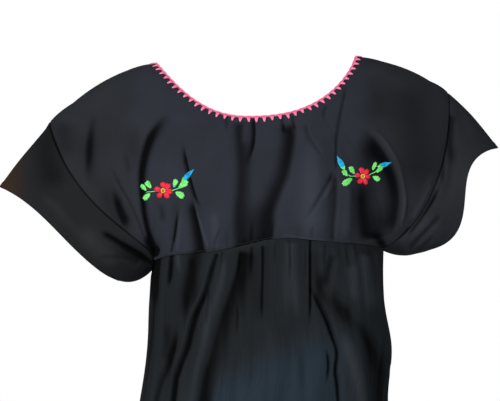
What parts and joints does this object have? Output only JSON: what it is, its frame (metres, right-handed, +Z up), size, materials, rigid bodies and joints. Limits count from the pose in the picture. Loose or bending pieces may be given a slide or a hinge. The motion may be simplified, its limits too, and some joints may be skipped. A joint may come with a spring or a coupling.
{
  "type": "worn peasant blouse",
  "caption": "Short-sleeved embroidered peasant blouse, worn and hollow: a smooth yoke over the shoulders, a gathered skirt below it, wide sleeves and a yarn-stitched round neck.",
  "frame": {"origin": "midway between the two points where the shoulders meet the neck opening, where the wearer's shoulders hold the blouse up", "axes": "+Z up; the blouse's front faces +Y and its back, the side in the picture, faces -Y; the wearer's left sleeve is on -X"},
  "size_m": [0.664, 0.3176, 0.6841],
  "materials": {
    "black_poplin": "smooth black cotton poplin with a faint blue sheen",
    "black_gauze": "black crinkled cotton gauze",
    "pink_yarn": "bright pink embroidery yarn"
  },
  "bodies": {
    "root": {"back_yoke": "black_poplin", "front_yoke": "black_poplin", "left_sleeve": "black_poplin", "right_sleeve": "black_poplin", "back_skirt": "black_gauze", "front_skirt": "black_gauze", "neck_edging": "pink_yarn"}
  },
  "joints": []
}
